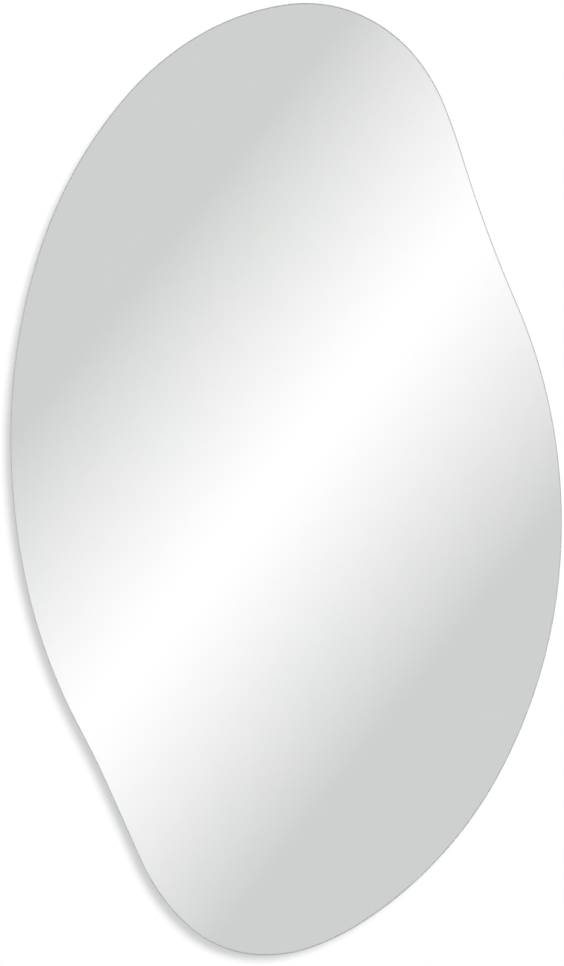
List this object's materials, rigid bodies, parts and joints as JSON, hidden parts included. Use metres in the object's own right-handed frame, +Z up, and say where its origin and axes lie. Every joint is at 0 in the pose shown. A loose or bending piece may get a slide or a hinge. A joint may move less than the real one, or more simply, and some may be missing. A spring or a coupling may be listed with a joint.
{
  "type": "irregular wall mirror",
  "caption": "Frameless wall mirror with an irregular pebble-like outline, on a smaller backing board with swinging D-ring hangers and rubber bumpers.",
  "frame": {"origin": "on the wall plane, behind the middle of the mirror's width and height", "axes": "+X to the viewer's right, +Z up, +Y from the mirror into the wall; the mirror faces -Y"},
  "size_m": [0.55, 0.0215, 0.95],
  "materials": {
    "glass": "clear float glass, polished edge",
    "silver": "silvered, grey paint at the back",
    "film": "matt safety film",
    "foam": "black foam tape",
    "silicone": "cured neutral silicone",
    "fibreboard": "medium-density fibreboard",
    "zinc_steel": "zinc-plated strip and wire",
    "screw_steel": "zinc-plated",
    "bumper_rubber": "matt moulded rubber"
  },
  "bodies": {
    "mirror": {"backing_board": "fibreboard", "foam_tape_1": "foam", "foam_tape_2": "foam", "foam_tape_3": "foam", "foam_tape_4": "foam", "foam_tape_5": "foam", "foam_tape_6": "foam", "glass_pane": "glass", "left_hanger_strap": "zinc_steel", "left_lower_screw": "screw_steel", "left_upper_screw": "screw_steel", "lower_left_bumper": "bumper_rubber", "lower_right_bumper": "bumper_rubber", "right_hanger_strap": "zinc_steel", "right_lower_screw": "screw_steel", "right_upper_screw": "screw_steel", "safety_film": "film", "silicone_bead_1": "silicone", "silicone_bead_2": "silicone", "silicone_bead_3": "silicone", "silicone_bead_4": "silicone", "silicone_bead_5": "silicone", "silver_coat": "silver", "upper_left_bumper": "bumper_rubber", "upper_right_bumper": "bumper_rubber"},
    "left_ring": {"left_hanger_ring": "zinc_steel"},
    "right_ring": {"right_hanger_ring": "zinc_steel"}
  },
  "joints": [
    {"name": "left_ring_hinge", "type": "hinge", "parent": "mirror", "child": "left_ring", "pos_m": [-0.1, -0.00325, 0.24], "axis": [-1, 0, 0], "range_deg": [-2, 176]},
    {"name": "right_ring_hinge", "type": "hinge", "parent": "mirror", "child": "right_ring", "pos_m": [0.1, -0.00325, 0.24], "axis": [-1, 0, 0], "range_deg": [-2, 176]}
  ]
}
